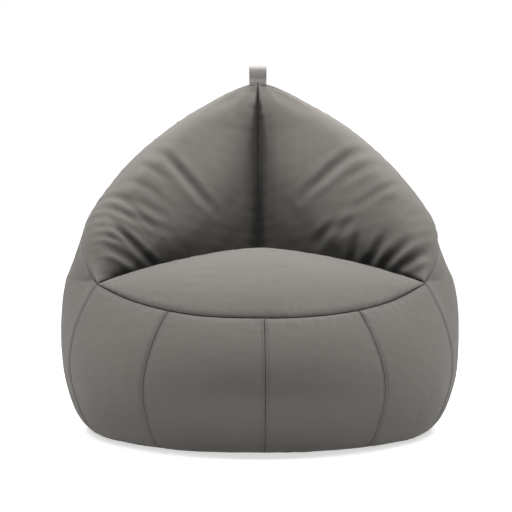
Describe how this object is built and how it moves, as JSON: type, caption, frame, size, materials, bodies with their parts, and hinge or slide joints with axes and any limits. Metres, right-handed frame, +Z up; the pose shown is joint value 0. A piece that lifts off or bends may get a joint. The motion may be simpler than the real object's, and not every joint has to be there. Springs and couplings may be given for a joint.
{
  "type": "bean bag chair",
  "caption": "Teardrop bean bag lounge chair with a crowned round seat, high pointed back, rolled arms and a webbing loop at the peak.",
  "frame": {"origin": "centre of the bounding box in plan, on the floor under the bag", "axes": "+Z up, front of the seat faces -Y, +X to the right when looking along +Y"},
  "size_m": [0.8968, 0.8879, 0.813],
  "materials": {
    "cover_fabric": "matte",
    "webbing": "matte",
    "zip_tape": "matte",
    "zip_coil": "satin",
    "zip_metal": "satin",
    "liner_fabric": "matte",
    "liner_zip_tape": "matte",
    "liner_zip_coil": "satin",
    "beads": "matte"
  },
  "bodies": {
    "cover": {"seat_panel": "cover_fabric", "back_panel_left": "cover_fabric", "back_panel_right": "cover_fabric", "gore_front_left": "cover_fabric", "gore_front_right": "cover_fabric", "gore_front_side_left": "cover_fabric", "gore_front_side_right": "cover_fabric", "gore_side_left": "cover_fabric", "gore_side_right": "cover_fabric", "gore_rear_side_left": "cover_fabric", "gore_rear_side_right": "cover_fabric", "gore_rear_left": "cover_fabric", "gore_rear_right": "cover_fabric", "base_panel_front": "cover_fabric", "base_panel_rear": "cover_fabric", "handle_root": "webbing", "zip_tape_front": "zip_tape", "zip_tape_rear": "zip_tape", "zip_coil_front": "zip_coil", "zip_coil_rear": "zip_coil", "zip_start_stop": "zip_metal", "zip_end_stop": "zip_metal", "zip_end_patches": "cover_fabric", "liner_body": "liner_fabric", "liner_base_front": "liner_fabric", "liner_base_rear": "liner_fabric", "liner_zip_tapes": "liner_zip_tape", "liner_zip_coils": "liner_zip_coil", "liner_zip_stops": "zip_metal", "bead_fill": "beads"},
    "zip_slider": {"zip_slider": "zip_metal"},
    "liner_zip_slider": {"liner_zip_slider": "zip_metal"},
    "handle": {"handle_loop": "webbing"}
  },
  "joints": [
    {"name": "zip_slide", "type": "slide", "parent": "cover", "child": "zip_slider", "axis": [1, 0, 0], "range_m": [-0.52, 0]},
    {"name": "liner_zip_slide", "type": "slide", "parent": "cover", "child": "liner_zip_slider", "axis": [1, 0, 0], "range_m": [-0.285, 0]},
    {"name": "handle_swing", "type": "hinge", "parent": "cover", "child": "handle", "pos_m": [0, 0.19146, 0.78058], "axis": [1, 0, 0], "range_deg": [-80, 80], "stiffness_Nm_per_rad": 0.01}
  ]
}
